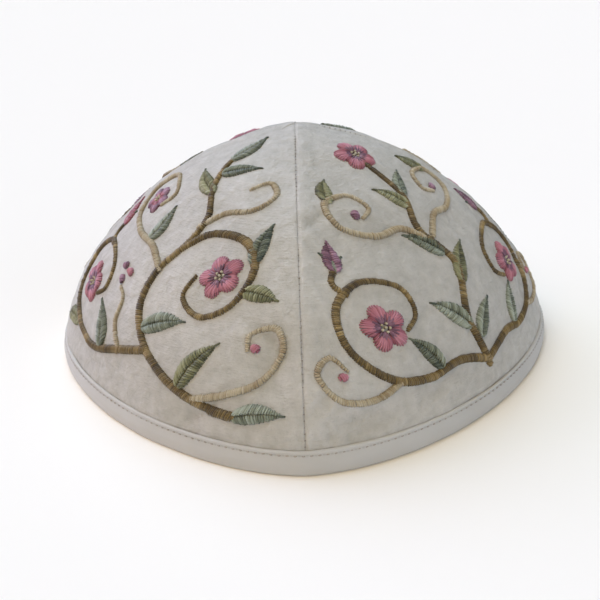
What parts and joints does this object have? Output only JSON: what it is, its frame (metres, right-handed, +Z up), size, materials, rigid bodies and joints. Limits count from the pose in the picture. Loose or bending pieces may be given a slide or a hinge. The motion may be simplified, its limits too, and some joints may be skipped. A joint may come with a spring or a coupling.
{
  "type": "skullcap",
  "caption": "Domed cloth skullcap of gored panels, open below for the head, with a folded binding round its rim and a vine embroidery.",
  "frame": {"origin": "on the floor under the crown, at the middle of the rim's lower edge", "axes": "+Z up to the crown, the front seam towards -Y, the side seams along X"},
  "size_m": [0.1714, 0.1714, 0.0725],
  "materials": {
    "panel_silk": "slubbed raw silk, cream, low sheen",
    "binding_sateen": "smooth woven cotton, cream, matt",
    "embroidery_thread": "satin-stitched rayon thread in brown, straw, green, pink and mauve, soft sheen"
  },
  "bodies": {
    "root": {"panel_front_left": "panel_silk", "panel_front_right": "panel_silk", "panel_back_left": "panel_silk", "panel_back_right": "panel_silk", "rim_band": "binding_sateen"}
  },
  "joints": []
}
